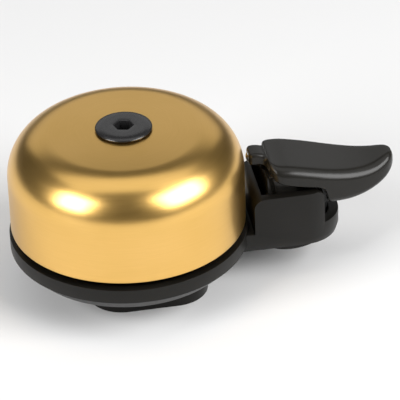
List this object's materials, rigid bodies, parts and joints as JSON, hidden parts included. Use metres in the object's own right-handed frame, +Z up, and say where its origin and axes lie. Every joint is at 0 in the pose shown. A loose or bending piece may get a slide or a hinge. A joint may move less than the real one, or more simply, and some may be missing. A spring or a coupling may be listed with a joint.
{
  "type": "bicycle bell",
  "caption": "Handlebar bell with a satin brass dome on a black moulded base and a sprung thumb lever that flicks a steel striker against the dome.",
  "frame": {"origin": "on the dome's axis, where the crown of the saddle pad rests on the handlebar", "axes": "+X along the handlebar and the thumb lever, away from the dome; +Z up along the dome's axis"},
  "size_m": [0.0694, 0.0426, 0.032],
  "materials": {
    "dome_brass": "satin, clear lacquered, fine turned brushing",
    "black_steel": "black oxide, satin",
    "base_plastic": "glass-filled nylon, fine moulded texture",
    "foot_plastic": "glass-filled nylon, fine moulded texture",
    "lever_plastic": "satin moulded nylon",
    "rubber": "matt, fine ribs",
    "black_nylon": "plain moulded nylon",
    "insert_brass": "machined",
    "zinc_steel": "zinc plated",
    "bright_steel": "ground and polished",
    "spring_steel": "drawn wire",
    "turned_aluminium": "turned"
  },
  "bodies": {
    "base": {"base_plate": "base_plastic", "saddle_foot": "foot_plastic", "saddle_pad": "rubber", "foot_inserts": "insert_brass", "foot_screws": "zinc_steel", "captive_nut": "zinc_steel", "lock_washer": "zinc_steel", "post_sleeve": "turned_aluminium", "post_washer": "zinc_steel", "dome_seat_ring": "rubber", "dome_bush": "black_nylon", "dome": "dome_brass", "dome_screw": "black_steel", "pivot_pin": "bright_steel", "pin_plug": "base_plastic", "return_spring": "spring_steel", "stop_bumper": "rubber"},
    "lever": {"thumb_lever": "lever_plastic", "lever_bushes": "insert_brass", "striker_pin": "bright_steel"}
  },
  "joints": [
    {"name": "lever_hinge", "type": "hinge", "parent": "base", "child": "lever", "pos_m": [0.0292, 0, 0.01051], "axis": [0, 1, 0], "range_deg": [-2.4, 16], "stiffness_Nm_per_rad": 0.5, "deforming": ["return_spring"]}
  ]
}
